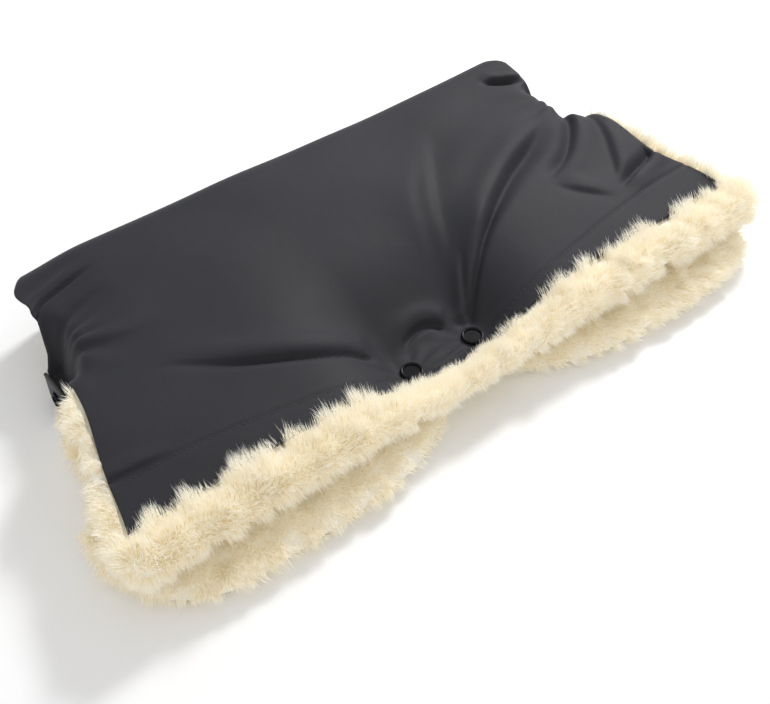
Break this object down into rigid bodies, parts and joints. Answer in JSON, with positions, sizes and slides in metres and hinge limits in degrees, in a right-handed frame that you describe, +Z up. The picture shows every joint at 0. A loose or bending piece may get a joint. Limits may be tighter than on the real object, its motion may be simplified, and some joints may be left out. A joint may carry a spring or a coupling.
{
  "type": "hand warmer muff",
  "caption": "Pushchair hand muff: a padded cloth shell lined with sheepskin, folded over a handlebar, with press studs along the hand opening and a press-stud tab at each end.",
  "frame": {"origin": "on the face that the muff rests on, under the middle of its outer box", "axes": "+X along the muff's length, to the right of someone who faces the hand openings; +Y from the hand openings to the handlebar fold; +Z up"},
  "size_m": [0.516, 0.275, 0.058],
  "materials": {
    "shell_cloth": "smooth water-repellent charcoal nylon with a faint satin sheen",
    "sheepskin": "fluffy cream lambswool pile",
    "snap_plastic": "glossy black",
    "webbing": "ribbed black webbing"
  },
  "bodies": {
    "back": {"back_shell": "shell_cloth", "back_fleece": "sheepskin", "snap_left_stud": "snap_plastic", "snap_left_post": "snap_plastic", "snap_right_stud": "snap_plastic", "snap_right_post": "snap_plastic", "tab_left_stud": "snap_plastic", "tab_left_post": "snap_plastic", "tab_right_stud": "snap_plastic", "tab_right_post": "snap_plastic"},
    "spine": {"spine_shell": "shell_cloth", "spine_fleece": "sheepskin"},
    "front": {"front_shell": "shell_cloth", "front_fleece": "sheepskin", "crest_fleece": "sheepskin", "snap_left_cap": "snap_plastic", "snap_left_socket": "snap_plastic", "snap_right_cap": "snap_plastic", "snap_right_socket": "snap_plastic"},
    "tab_left": {"tab_left_strap": "webbing", "tab_left_cap": "snap_plastic", "tab_left_socket": "snap_plastic"},
    "tab_right": {"tab_right_strap": "webbing", "tab_right_cap": "snap_plastic", "tab_right_socket": "snap_plastic"}
  },
  "joints": [
    {"name": "spine_fold", "type": "hinge", "parent": "back", "child": "spine", "pos_m": [0, 0.1375, 0], "axis": [-1, 0, 0], "range_deg": [0, 90]},
    {"name": "front_fold", "type": "hinge", "parent": "spine", "child": "front", "pos_m": [0, 0.1375, 0.058], "axis": [-1, 0, 0], "range_deg": [0, 90]},
    {"name": "tab_left_swing", "type": "hinge", "parent": "front", "child": "tab_left", "pos_m": [-0.2113, 0.0605, 0.02125], "axis": [0, 1, 0], "range_deg": [0, 120]},
    {"name": "tab_right_swing", "type": "hinge", "parent": "front", "child": "tab_right", "pos_m": [0.2113, 0.0605, 0.02125], "axis": [0, -1, 0], "range_deg": [0, 120]}
  ],
  "couplings": [
    {"joint": "front_fold", "follows": "spine_fold", "ratio": 1}
  ]
}
